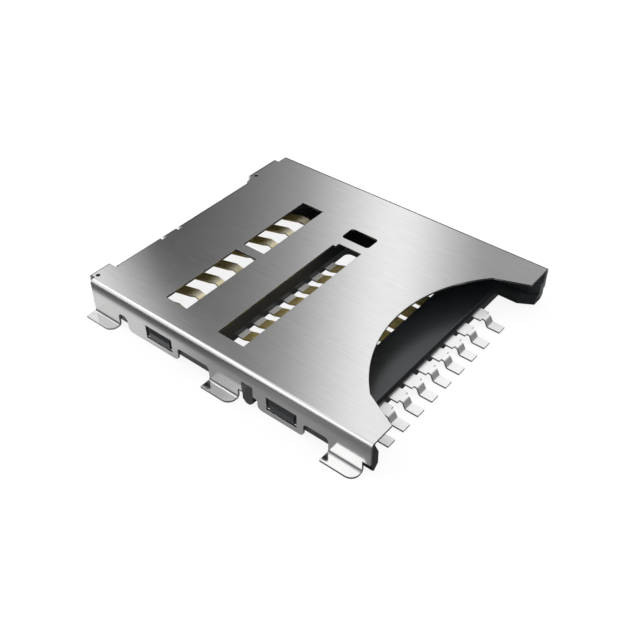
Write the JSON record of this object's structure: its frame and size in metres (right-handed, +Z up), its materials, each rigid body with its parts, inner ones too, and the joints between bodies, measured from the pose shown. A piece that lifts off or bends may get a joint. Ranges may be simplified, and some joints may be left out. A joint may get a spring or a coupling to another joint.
{
  "type": "memory card socket",
  "caption": "Low flat surface mount socket for a full-size SD memory card: folded steel cover with windows and a finger cut-out over a black moulded tray with gold contact springs.",
  "frame": {"origin": "middle of the whole outline in plan, on the plane of the board that the solder feet stand on", "axes": "+X to the right as seen from the card entry, +Y the way the card goes in, +Z up from the board"},
  "size_m": [0.0294, 0.0324, 0.0037],
  "materials": {
    "cover_steel": "satin tinned steel with a fine rolled grain",
    "tray_plastic": "black moulded glass filled plastic, fine matt grain",
    "contact_gold": "thin gold plating over copper alloy, bright at the crests",
    "switch_gold": "thin gold plating over copper alloy"
  },
  "bodies": {
    "root": {"shell_cover": "cover_steel", "housing": "tray_plastic", "contact_1": "contact_gold", "contact_2": "contact_gold", "contact_3": "contact_gold", "contact_4": "contact_gold", "contact_5": "contact_gold", "contact_6": "contact_gold", "contact_7": "contact_gold", "contact_8": "contact_gold", "contact_9": "contact_gold", "card_detect_spring": "switch_gold", "card_detect_fixed": "switch_gold", "write_protect_spring": "switch_gold", "write_protect_fixed": "switch_gold"}
  },
  "joints": []
}
